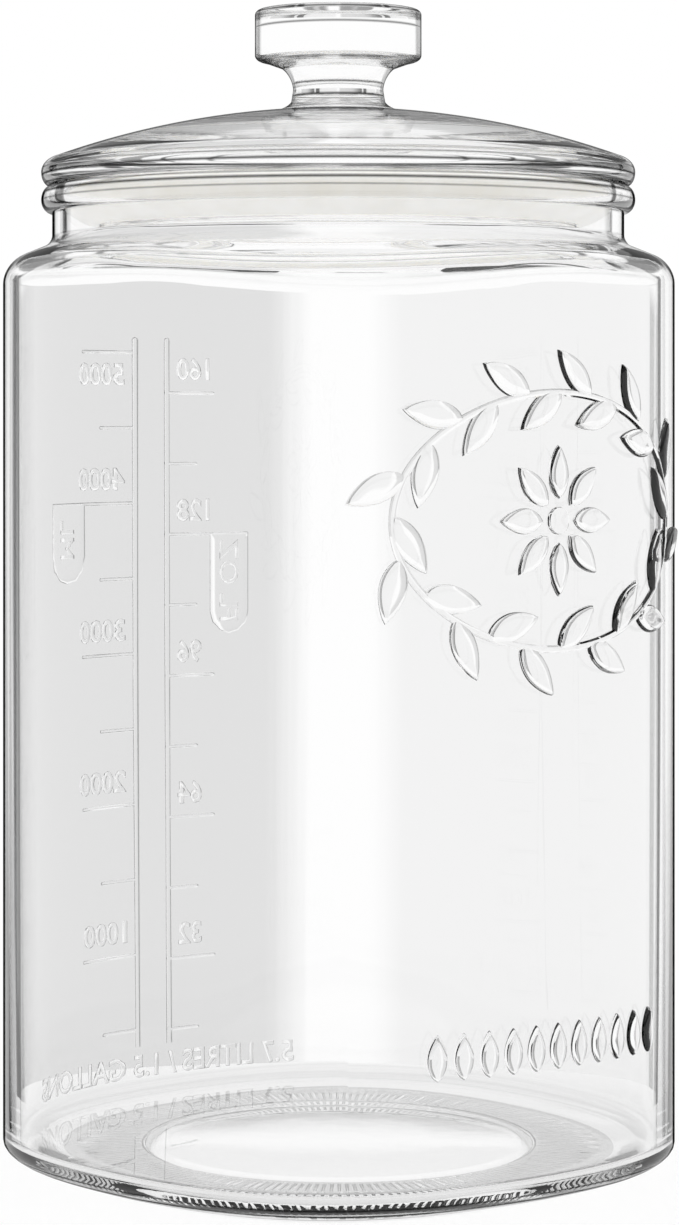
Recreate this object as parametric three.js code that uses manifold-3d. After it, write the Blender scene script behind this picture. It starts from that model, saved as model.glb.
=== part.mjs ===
// Glass storage jar with a lift-off glass lid and a silicone seal ring.
// Millimetres, +Z up, origin at the centre of the resting face, panels facing X and Y.
import * as THREE from 'three';
import { mergeVertices } from 'three/addons/utils/BufferGeometryUtils.js';
import Module from 'manifold-3d';

// Clearance left between pieces that touch
const FIT = 0.3;

// Jar body
const ACROSS_FLATS = 172;
const FLAT_WIDTH = 28;
const WALL = 4.1;
const JAR_HEIGHT = 267.6;
const HEEL_REACH = 20;
const HEEL_HEIGHT = 8.2;
const BEARING_WIDTH = 12;
const PUSH_UP = 1.8;
const FLOOR_HEIGHT = 6;
const FLOOR_ROUND = 13;

// Shoulder, neck and rim
const SHOULDER_SLOPE = 22;
const SHOULDER_ROUND = 8;
const NECK_INSET = 7.9;
const NECK_HEIGHT = 8.3;
const NECK_WALL = 3.2;
const NECK_ROUND = 3.5;
const RIM_OVERHANG = 3;
const RIM_HEIGHT = 7.2;
const RIM_EDGE = 1.5;

// Lid
const DOME_RISE = 21.2;
const LID_EDGE = 7.4;
const LID_GLASS = 5.5;
const SKIRT_DEPTH = 13;
const SKIRT_WALL = 3.6;
const SKIRT_LIP = 0.8;
const KNOB_DIAMETER = 45.6;
const KNOB_HEIGHT = 27.1;
const KNOB_HEAD = 14;
const STEM_DIAMETER = 24.7;

// Seal ring
const SEAL_SPACE = 9.8;
const SEAL_BAND = 1.8;
const FIN_THICKNESS = 1.4;
const FIN_PITCH = 4.4;
const FIN_TILT = 3.5;

// Raised scale on the back panel
const SCALE_RELIEF = 0.7;
const SCALE_LINE = 1;
const RAIL_SPACING = 14;
const RAIL_TOP_GAP = 24;
const LONG_TICK = 18;
const SHORT_TICK = 11;
const TICK_VOLUME_ML = 500;
const TICK_VOLUME_OZ = 16;
const ML_PER_OZ = 29.5735;

// Facets around the axis
const SEGMENTS = 64;

// Sizes that follow from the driving ones
const halfFlats = ACROSS_FLATS / 2;
const halfFlat = FLAT_WIDTH / 2;
const neckRadius = halfFlats - NECK_INSET;
const bore = neckRadius - NECK_WALL;
const rimRadius = neckRadius + RIM_OVERHANG;
const shoulderRoot = JAR_HEIGHT - RIM_HEIGHT - NECK_HEIGHT;
const slope = THREE.MathUtils.degToRad(SHOULDER_SLOPE);
const seat = JAR_HEIGHT + FIT;
const domeTop = seat + DOME_RISE;
const skirtRadius = bore - SEAL_SPACE;
const skirtBottom = seat - SKIRT_DEPTH;
const lipTop = skirtBottom + 2 * SKIRT_LIP;

// Distance from the axis to the rounded-square outline, inset evenly, in one direction.
function outlineRadius(angle, inset) {
  const quarter = Math.PI / 2;
  const turns = Math.round(angle / quarter);
  const a = Math.abs(angle - turns * quarter);
  const half = halfFlats - inset;
  const round = half - halfFlat;
  if (half * Math.tan(a) <= halfFlat) return half / Math.cos(a);
  const side = halfFlat * (Math.cos(a) - Math.sin(a));
  return halfFlat * (Math.cos(a) + Math.sin(a)) + Math.sqrt(round * round - side * side);
}

// Depth of the back panel's surface at a place across it.
function panelDepth(across) {
  const beyond = Math.max(Math.abs(across) - halfFlat, 0);
  const round = halfFlats - halfFlat;
  return halfFlat + Math.sqrt(round * round - beyond * beyond);
}

// Elliptical corner from the path's end, round the given corner, to the given end.
function roundTo(path, cornerR, cornerZ, endR, endZ) {
  const pull = 0.56;
  const from = path.currentPoint;
  path.bezierCurveTo(
    from.x + pull * (cornerR - from.x),
    from.y + pull * (cornerZ - from.y),
    endR + pull * (cornerR - endR),
    endZ + pull * (cornerZ - endZ),
    endR,
    endZ,
  );
}

// Points of a path: one for each straight end and an even count along each curve.
function pointsOf(path, steps) {
  const points = [path.curves[0].getPoint(0)];
  for (const curve of path.curves) {
    const count = curve.isLineCurve ? 1 : steps;
    for (let i = 1; i <= count; i += 1) points.push(curve.getPoint(i / count));
  }
  return points;
}

// Places where a sloping shoulder leaves its rounded ends, between a wall and a neck.
function shoulder(wallR, neckR, rootZ, wallRound, neckRound) {
  const run = (wallR - neckR) / Math.cos(slope);
  const half = Math.tan((Math.PI / 2 - slope) / 2);
  const fit = Math.min(1, (0.92 * run) / ((wallRound + neckRound) * half));
  const low = wallRound * half * fit;
  const high = neckRound * half * fit;
  const eaveZ = rootZ - (wallR - neckR) * Math.tan(slope);
  return {
    eaveZ,
    wallTop: eaveZ - low,
    lowR: wallR - low * Math.cos(slope),
    lowZ: eaveZ + low * Math.sin(slope),
    highR: neckR + high * Math.cos(slope),
    highZ: rootZ - high * Math.sin(slope),
    neckBottom: rootZ + high,
  };
}

// Half section of the jar in one direction, from the push-up over the rim to the floor.
function jarSection(angle) {
  const outer = outlineRadius(angle, 0);
  const inner = outlineRadius(angle, WALL);
  const bearing = halfFlats - HEEL_REACH - BEARING_WIDTH;
  const crown = RIM_HEIGHT / 3;
  const innerRoot = shoulderRoot + NECK_WALL * Math.tan(slope) - WALL / Math.cos(slope);
  const out = shoulder(outer, neckRadius, shoulderRoot, SHOULDER_ROUND, NECK_ROUND);
  const into = shoulder(inner, bore, innerRoot, SHOULDER_ROUND / 2, NECK_ROUND + WALL);
  const path = new THREE.Path();
  path.moveTo(0, PUSH_UP);
  path.quadraticCurveTo(0.7 * bearing, PUSH_UP, bearing, 0);
  path.lineTo(outer - HEEL_REACH, 0);
  roundTo(path, outer, 0, outer, HEEL_HEIGHT);
  path.lineTo(outer, out.wallTop);
  roundTo(path, outer, out.eaveZ, out.lowR, out.lowZ);
  path.lineTo(out.highR, out.highZ);
  roundTo(path, neckRadius, shoulderRoot, neckRadius, out.neckBottom);
  path.lineTo(neckRadius, JAR_HEIGHT - RIM_HEIGHT);
  roundTo(path, rimRadius, JAR_HEIGHT - RIM_HEIGHT, rimRadius, JAR_HEIGHT - RIM_HEIGHT / 2);
  roundTo(path, rimRadius, JAR_HEIGHT, rimRadius - crown, JAR_HEIGHT);
  path.lineTo(bore + RIM_EDGE, JAR_HEIGHT);
  roundTo(path, bore, JAR_HEIGHT, bore, JAR_HEIGHT - RIM_EDGE);
  path.lineTo(bore, into.neckBottom);
  roundTo(path, bore, innerRoot, into.highR, into.highZ);
  path.lineTo(into.lowR, into.lowZ);
  roundTo(path, inner, into.eaveZ, inner, into.wallTop);
  path.lineTo(inner, FLOOR_HEIGHT + 0.7 * FLOOR_ROUND);
  roundTo(path, inner, FLOOR_HEIGHT, inner - FLOOR_ROUND, FLOOR_HEIGHT);
  path.lineTo(0, FLOOR_HEIGHT);
  return pointsOf(path, 3);
}

// Solid of the jar: a turned form whose half section changes with the direction.
function jarGeometry() {
  const first = jarSection(0);
  const geometry = new THREE.LatheGeometry(first, SEGMENTS);
  const position = geometry.getAttribute('position');
  for (let i = 0; i <= SEGMENTS; i += 1) {
    const angle = ((i % SEGMENTS) * 2 * Math.PI) / SEGMENTS;
    jarSection(angle).forEach((point, j) => {
      const index = i * first.length + j;
      position.setXYZ(index, point.x * Math.sin(angle), point.y, point.x * Math.cos(angle));
    });
  }
  return geometry.rotateX(Math.PI / 2);
}

// Raised bar on the back panel that follows its curve, from one place across it to another.
function raisedBar(from, to, bottom, height) {
  const steps = 4;
  const front = [];
  const back = [];
  for (let i = 0; i <= steps; i += 1) {
    const across = from + ((to - from) * i) / steps;
    front.push(new THREE.Vector2(across, panelDepth(across) + SCALE_RELIEF));
    back.unshift(new THREE.Vector2(across, panelDepth(across) - WALL / 2));
  }
  const shape = new THREE.Shape([...front, ...back]);
  const bar = new THREE.ExtrudeGeometry(shape, { depth: height, bevelEnabled: false });
  return bar.translate(0, 0, bottom);
}

// Bars of the scale: one rail with its ticks for each unit, litres to -X and ounces to +X.
function scaleBars() {
  const inside = halfFlats - WALL;
  const insideRound = inside - halfFlat;
  const area = 4 * inside * inside - (4 - Math.PI) * insideRound * insideRound;
  const rise = 1000 / area;
  const railBottom = FLOOR_HEIGHT + FLOOR_ROUND;
  const railTop = shoulderRoot - RAIL_TOP_GAP;
  const scales = [
    { side: -1, tick: TICK_VOLUME_ML * rise },
    { side: 1, tick: TICK_VOLUME_OZ * ML_PER_OZ * rise },
  ];
  const bars = [];
  for (const { side, tick } of scales) {
    const rail = (side * RAIL_SPACING) / 2;
    bars.push(raisedBar(rail - SCALE_LINE / 2, rail + SCALE_LINE / 2, railBottom, railTop - railBottom));
    const last = Math.floor((railTop - SCALE_LINE - FLOOR_HEIGHT) / tick);
    for (let count = 1; count <= last; count += 1) {
      const z = FLOOR_HEIGHT + count * tick;
      const length = count % 2 ? SHORT_TICK : LONG_TICK;
      const ends = [rail, rail + side * length].sort((a, b) => a - b);
      bars.push(raisedBar(ends[0], ends[1], z - SCALE_LINE / 2, SCALE_LINE));
    }
  }
  return bars;
}

// Half section of the lid, from the hollow of the dome over the skirt and edge to the knob top.
function lidSection() {
  const edgeZ = seat + LID_EDGE;
  const edgeR = rimRadius - LID_EDGE / 2.5;
  const rise = domeTop - edgeZ;
  const domeRadius = (edgeR * edgeR + rise * rise) / (2 * rise);
  const domeZ = (r, drop) => domeTop - domeRadius + Math.sqrt((domeRadius - drop) ** 2 - r * r);
  const skirtInner = skirtRadius - SKIRT_WALL;
  const hollowR = skirtInner - 2 * SKIRT_WALL;
  const knobRadius = KNOB_DIAMETER / 2;
  const stem = STEM_DIAMETER / 2;
  const knobTop = domeTop + KNOB_HEIGHT;
  const headZ = knobTop - KNOB_HEAD;
  const waistZ = (headZ + domeTop) / 2;
  const foot = 1.5 * stem;
  const path = new THREE.Path();
  path.moveTo(0, domeZ(0, LID_GLASS));
  path.quadraticCurveTo(hollowR / 2, domeZ(0, LID_GLASS), hollowR, domeZ(hollowR, LID_GLASS));
  roundTo(path, skirtInner, domeZ(skirtInner, LID_GLASS), skirtInner, seat);
  path.lineTo(skirtInner, skirtBottom + SKIRT_LIP);
  roundTo(path, skirtInner, skirtBottom, skirtInner + SKIRT_LIP, skirtBottom);
  path.lineTo(skirtRadius, skirtBottom);
  roundTo(path, skirtRadius + SKIRT_LIP, skirtBottom, skirtRadius + SKIRT_LIP, skirtBottom + SKIRT_LIP);
  path.lineTo(skirtRadius, lipTop);
  path.lineTo(skirtRadius, seat);
  path.lineTo(rimRadius - RIM_HEIGHT / 3, seat);
  roundTo(path, rimRadius, seat, rimRadius, seat + LID_EDGE / 2);
  roundTo(path, rimRadius, edgeZ - 0.1 * LID_EDGE, edgeR, edgeZ);
  for (let i = 1; i <= 5; i += 1) {
    const r = edgeR + ((foot - edgeR) * i) / 5;
    path.lineTo(r, domeZ(r, 0));
  }
  roundTo(path, 1.12 * stem, domeTop, 1.04 * stem, domeTop + 0.16 * (headZ - domeTop));
  path.lineTo(stem, waistZ - 0.1 * (headZ - domeTop));
  roundTo(path, stem, headZ - 0.3 * (headZ - domeTop), 0.68 * knobRadius, headZ - 0.14 * (headZ - domeTop));
  path.lineTo(0.9 * knobRadius, headZ);
  roundTo(path, knobRadius, headZ, knobRadius, headZ + 0.12 * KNOB_HEAD);
  path.lineTo(knobRadius, knobTop - 0.1 * KNOB_HEAD);
  roundTo(path, knobRadius, knobTop, knobRadius - 0.1 * KNOB_HEAD, knobTop);
  path.lineTo(0, knobTop);
  return pointsOf(path, 3);
}

// Closed half section of the seal ring: a band round the skirt with two upturned fins.
function sealSection() {
  const inner = skirtRadius + FIT;
  const band = inner + SEAL_BAND;
  const tip = bore - FIT;
  const bottom = lipTop + FIT;
  const top = seat - FIT;
  const upper = bottom + FIN_PITCH;
  const thin = 0.7 * FIN_THICKNESS;
  return [
    [inner, bottom],
    [band, bottom],
    [tip, bottom + FIN_TILT],
    [tip, bottom + FIN_TILT + thin],
    [band, bottom + FIN_THICKNESS],
    [band, upper],
    [tip, upper + FIN_TILT],
    [tip, upper + FIN_TILT + thin],
    [band, upper + FIN_THICKNESS],
    [band, top],
    [inner, top],
    [inner, bottom],
  ].map(([r, z]) => new THREE.Vector2(r, z));
}

const wasm = await Module();
wasm.setup();

// Geometry as a solid for boolean work.
function solidOf(geometry) {
  const plain = new THREE.BufferGeometry();
  const flat = geometry.index ? geometry.toNonIndexed() : geometry;
  plain.setAttribute('position', flat.getAttribute('position'));
  const merged = mergeVertices(plain, 1e-3);
  return new wasm.Manifold(
    new wasm.Mesh({
      numProp: 3,
      vertProperties: new Float32Array(merged.getAttribute('position').array),
      triVerts: new Uint32Array(merged.index.array),
    }),
  );
}

// Solid back as a geometry.
function geometryOf(solid) {
  const mesh = solid.getMesh();
  const geometry = new THREE.BufferGeometry();
  geometry.setAttribute('position', new THREE.BufferAttribute(mesh.vertProperties, 3));
  geometry.setIndex(new THREE.BufferAttribute(mesh.triVerts, 1));
  geometry.computeVertexNormals();
  return geometry;
}

let jarSolid = solidOf(jarGeometry());
for (const bar of scaleBars()) jarSolid = jarSolid.add(solidOf(bar));

const clearGlass = { color: 0xeef4f2, roughness: 0.04, metalness: 0, transparent: true, opacity: 0.4 };
const silicone = { color: 0xe9e2d2, roughness: 0.55, metalness: 0 };

const jarBody = new THREE.Mesh(geometryOf(jarSolid), new THREE.MeshStandardMaterial(clearGlass));
jarBody.name = 'jar_body';

const sealForm = new THREE.LatheGeometry(sealSection(), SEGMENTS).rotateX(Math.PI / 2);
const sealRing = new THREE.Mesh(sealForm, new THREE.MeshStandardMaterial(silicone));
sealRing.name = 'seal_ring';

const lidForm = new THREE.LatheGeometry(lidSection(), SEGMENTS).rotateX(Math.PI / 2);
const lid = new THREE.Mesh(lidForm, new THREE.MeshStandardMaterial(clearGlass));
lid.name = 'lid';

const jar = new THREE.Group();
jar.name = 'glass_jar';
jar.add(jarBody, sealRing, lid);

export default jar;
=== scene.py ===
"""Looks of a glass storage jar: the moulded body, the pressed lid and the silicone seal ring."""

import logging  # noqa: E402
import math  # noqa: E402
from dataclasses import dataclass, field  # noqa: E402
from enum import Enum  # noqa: E402

import bmesh  # noqa: E402
import bpy  # noqa: E402
import numpy as np  # noqa: E402
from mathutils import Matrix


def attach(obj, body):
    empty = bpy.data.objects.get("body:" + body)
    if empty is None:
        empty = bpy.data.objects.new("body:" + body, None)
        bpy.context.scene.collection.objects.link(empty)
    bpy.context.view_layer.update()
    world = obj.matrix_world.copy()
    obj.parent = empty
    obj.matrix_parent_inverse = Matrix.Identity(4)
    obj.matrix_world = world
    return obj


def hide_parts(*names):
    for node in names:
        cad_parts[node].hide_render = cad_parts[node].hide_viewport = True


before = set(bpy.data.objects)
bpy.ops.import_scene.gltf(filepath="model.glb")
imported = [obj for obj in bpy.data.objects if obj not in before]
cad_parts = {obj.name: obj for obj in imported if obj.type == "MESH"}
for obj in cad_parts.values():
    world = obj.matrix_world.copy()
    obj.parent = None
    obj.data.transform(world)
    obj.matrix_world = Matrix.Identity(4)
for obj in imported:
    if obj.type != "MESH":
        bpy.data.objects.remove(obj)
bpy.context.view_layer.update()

log = logging.getLogger("glass_jar")

MM = 0.001
TURN = 2 * math.pi

Mesh = bpy.types.Mesh
Material = bpy.types.Material
Node = bpy.types.Node
Socket = bpy.types.NodeSocket
Tree = bpy.types.NodeTree
Point = tuple[float, float]
Inputs = dict[str | int, object]
Stops = tuple[tuple[float, object], ...]


class Panel(Enum):
    """Panels of the body that carry relief, with the sign of Y that they face."""

    FRONT = -1
    BACK = 1


@dataclass(frozen=True)
class UnitMarks:
    """One unit of the raised scale.

    A tick stands for its millilitres and for the printed number. The ticks have a side of the rails and a
    share of the full length. The length of the tag and the drop of its word are in millimetres.
    """

    millilitres: float
    printed: int
    word: str
    side: int
    share: float
    tag_length: float
    word_drop: float

    @property
    def turn(self) -> float:
        """Turn of a bar that runs outwards from the rails."""
        return 0.0 if self.side > 0 else math.pi


class Unit(Enum):
    """Units of the raised scale, one on each side of the rails."""

    MILLILITRES = UnitMarks(500.0, 500, "ML", 1, 1.2, 23.0, 10.0)
    FLUID_OUNCES = UnitMarks(16.0 * 29.5735, 16, "FL OZ", -1, 1.0, 29.9, 14.0)


@dataclass(frozen=True)
class JarSizes:
    """Driving sizes of the jar body, in millimetres and degrees, and shares of them."""

    across_flats: float = 172.0
    flat_width: float = 28.0
    wall: float = 4.1
    height: float = 267.6
    heel_reach: float = 20.0
    heel_height: float = 8.2
    bearing_width: float = 12.0
    push_up: float = 1.8
    push_up_edge: float = 5.0
    push_up_corner: float = 1.0
    floor_height: float = 6.0
    floor_round: float = 6.0
    floor_round_rise: float = 0.7
    shoulder_slope: float = 22.0
    shoulder_round: float = 8.0
    rounded_share: float = 0.92
    neck_inset: float = 7.9
    neck_height: float = 8.3
    neck_wall: float = 3.2
    neck_round: float = 3.5
    rim_overhang: float = 3.0
    rim_height: float = 7.2
    rim_edge: float = 1.5
    fit: float = 0.3
    knurl: float = 0.3
    knurl_width: float = 1.1
    knurl_inset: float = 2.0
    knurl_gap: float = 0.5

    @property
    def half_flats(self) -> float:
        """Half the width across two facing panels."""
        return self.across_flats / 2

    @property
    def bearing(self) -> float:
        """Inner radius of the resting ring."""
        return self.half_flats - self.heel_reach - self.bearing_width

    @property
    def neck_radius(self) -> float:
        """Outer radius of the neck."""
        return self.half_flats - self.neck_inset

    @property
    def bore(self) -> float:
        """Inner radius of the neck."""
        return self.neck_radius - self.neck_wall

    @property
    def rim_radius(self) -> float:
        """Outer radius of the bead at the mouth, and of the lid."""
        return self.neck_radius + self.rim_overhang

    @property
    def shoulder_root(self) -> float:
        """Height at which the shoulder's slope meets the neck."""
        return self.height - self.rim_height - self.neck_height

    @property
    def seat(self) -> float:
        """Height of the underside of the lid's edge."""
        return self.height + self.fit


@dataclass(frozen=True)
class LidSizes:
    """Driving sizes of the lid in millimetres, then shares of stem, knob, gap below it and head."""

    dome_rise: float = 21.2
    edge: float = 7.4
    glass: float = 5.5
    skirt_depth: float = 13.0
    skirt_wall: float = 3.6
    skirt_lip: float = 0.8
    knob_diameter: float = 45.6
    knob_height: float = 27.1
    knob_head: float = 14.0
    stem_diameter: float = 24.7
    edge_round: float = 0.4
    edge_slope: float = 0.1
    foot: float = 1.5
    foot_corner: float = 1.12
    foot_top: Point = (1.04, 0.16)
    stem_top: float = 0.4
    flare_corner: float = 0.3
    flare_end: Point = (0.68, 0.14)
    head_edge: float = 0.9
    head_round: float = 0.12
    top_round: float = 0.1


@dataclass(frozen=True)
class SealSizes:
    """Driving sizes of the seal ring in millimetres, with bow and reach of its fins as shares."""

    space: float = 9.8
    band: float = 1.8
    fin_thickness: float = 1.4
    fin_pitch: float = 4.4
    fin_tilt: float = 3.5
    fin_bow: Point = (0.25, 0.3)
    fin_reach: float = 0.95
    tip_height: float = 0.7
    fillet: float = 0.2


def feed(tree: Tree, node: Node, inputs: Inputs) -> None:
    """Sets or links a node's inputs.

    Args:
        tree: The tree of the node.
        node: The node.
        inputs: Values, or sockets to link from, by the name or number of the input.
    """
    for key, value in inputs.items():
        if isinstance(value, Socket):
            tree.links.new(value, node.inputs[key])
        else:
            node.inputs[key].default_value = value


def add_node(tree: Tree, kind: str, inputs: Inputs | None = None, **settings: object) -> Node:
    """Adds a node.

    Args:
        tree: The tree that gets it.
        kind: Its type.
        inputs: Values or sockets for its inputs.
        **settings: Its own settings, which are set first.

    Returns:
        The node.
    """
    node = tree.nodes.new(kind)
    for name, value in settings.items():
        setattr(node, name, value)
    feed(tree, node, inputs or {})
    return node


def maths(tree: Tree, operation: str, *values: object) -> Socket:
    """Adds a Math node and gives its output."""
    return add_node(tree, "ShaderNodeMath", dict(enumerate(values)), operation=operation).outputs[0]


def mixed(tree: Tree, share: Socket, first: object, second: object) -> Socket:
    """Blends two numbers or sockets; the share is that of the second."""
    rest = maths(tree, "MULTIPLY", maths(tree, "SUBTRACT", 1.0, share), first)
    return maths(tree, "MULTIPLY_ADD", share, second, rest)


def ramp(tree: Tree, place: Socket, stops: Stops) -> Socket:
    """Adds a colour ramp.

    Args:
        tree: The tree that gets it.
        place: Socket that gives the place on the ramp.
        stops: Position and grey tone, or colour, of each stop.

    Returns:
        The ramp's colour.
    """
    node = add_node(tree, "ShaderNodeValToRGB", {"Fac": place})
    elements = node.color_ramp.elements
    while len(elements) < len(stops):
        elements.new(0.5)
    for element, (position, tone) in zip(elements, stops):
        element.position = position
        element.color = (*np.broadcast_to(tone, 3), 1.0)
    return node.outputs["Color"]


def new_tree(name: str, kind: str, inputs: dict[str, str], outputs: dict[str, str]) -> Tree:
    """Starts a node tree that others can use.

    Args:
        name: Name of the tree.
        kind: Its type.
        inputs: Kind of each input by its name.
        outputs: Kind of each output by its name.

    Returns:
        The tree, with its input and output nodes.
    """
    tree = bpy.data.node_groups.new(name, kind)
    for way, sockets in (("OUTPUT", outputs), ("INPUT", inputs)):
        for label, socket in sockets.items():
            tree.interface.new_socket(label, in_out=way, socket_type=f"NodeSocket{socket}")
    tree.nodes.new("NodeGroupInput").name = "Group Input"
    tree.nodes.new("NodeGroupOutput").name = "Group Output"
    return tree


def new_material(name: str, inputs: Inputs) -> tuple[Material, Node]:
    """Starts a material.

    Args:
        name: Its name.
        inputs: Values for the inputs of its Principled shader.

    Returns:
        The material and the shader.
    """
    material = bpy.data.materials.new(name)
    material.use_nodes = True
    shader = material.node_tree.nodes["Principled BSDF"]
    feed(material.node_tree, shader, inputs)
    return material, shader


class HalfSection:
    """A half section made of straight runs and elliptical corners, in millimetres."""

    PULL = 0.56

    def __init__(self, r: float, z: float, steps: int = 10) -> None:
        """Starts the section.

        Args:
            r: Distance of the first point from the axis.
            z: Height of the first point.
            steps: Points along each curve.
        """
        self.points: list[Point] = [(r, z)]
        self.steps = steps

    def line_to(self, r: float, z: float) -> None:
        """Adds a straight run to a point."""
        self.points.append((r, z))

    def bend_to(self, *controls: Point) -> None:
        """Adds a Bezier curve.

        Args:
            *controls: Its points after the start, with the end last.
        """
        pins = np.array([self.points[-1], *controls])
        order = len(controls)
        for i in range(1, self.steps + 1):
            t = i / self.steps
            weights = [math.comb(order, k) * t**k * (1 - t) ** (order - k) for k in range(order + 1)]
            self.points.append(tuple(np.dot(weights, pins)))

    def round_to(self, corner: Point, end: Point) -> None:
        """Adds an elliptical corner.

        Args:
            corner: The corner that the curve rounds off.
            end: The end point.
        """
        pulled = [
            tuple(p + self.PULL * (c - p) for p, c in zip(pin, corner)) for pin in (self.points[-1], end)
        ]
        self.bend_to(*pulled, end)

    def array(self) -> np.ndarray:
        """The points, one row of radius and height for each."""
        return np.array(self.points)


class Outline:
    """The rounded-square outline of the body, seen from above, with no step in its curvature."""

    SAMPLES = 4001

    def __init__(self, sizes: JarSizes) -> None:
        """Works out the outline and a table of lengths along a panel.

        Args:
            sizes: Sizes of the jar body.
        """
        corner = sizes.half_flats + (math.sqrt(2) - 1) * sizes.flat_width / 2
        self.mean = (corner + sizes.half_flats) / 2
        self.swing = (corner - sizes.half_flats) / 2
        self.turns = np.linspace(-math.pi / 2, math.pi / 2, self.SAMPLES)
        speed = np.hypot(self.radius(self.turns), self._slope(self.turns))
        length = np.concatenate([[0.0], np.cumsum((speed[1:] + speed[:-1]) / 2)])
        length *= self.turns[1] - self.turns[0]
        self.lengths = length - length[self.SAMPLES // 2]

    def _slope(self, angle: np.ndarray) -> np.ndarray:
        """Change of the distance from the axis for each radian of the direction."""
        return 4 * self.swing * np.sin(4 * angle)

    def radius(self, angle: np.ndarray, inset: float = 0.0) -> np.ndarray:
        """Distance from the axis to the outline, moved in by the inset."""
        return self.mean - inset - self.swing * np.cos(4 * angle)

    def normal(self, angle: np.ndarray) -> np.ndarray:
        """Outward direction of the wall.

        Args:
            angle: Directions from the axis, from the middle of a panel, in radians.

        Returns:
            Unit vectors across the panel and out of it, one row for each direction.
        """
        far, slope = self.radius(angle), self._slope(angle)
        across = far * np.sin(angle) - slope * np.cos(angle)
        out = far * np.cos(angle) + slope * np.sin(angle)
        return np.stack([across, out], axis=1) / np.hypot(far, slope)[:, None]

    def wrap(self, flat_points: np.ndarray, panel: Panel) -> np.ndarray:
        """Lays flat relief on a panel, following the body round its corners.

        Args:
            flat_points: Rows of place along the panel, height and relief, in millimetres.
            panel: The panel that takes the relief.

        Returns:
            Rows of X, Y and Z in metres.
        """
        along, height, relief = flat_points.T
        angle = np.interp(along, self.lengths, self.turns)
        far, normal = self.radius(angle), self.normal(angle)
        across = far * np.sin(angle) + relief * normal[:, 0]
        out = far * np.cos(angle) + relief * normal[:, 1]
        return np.stack([-panel.value * across, panel.value * out, height], axis=1) * MM


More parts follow.
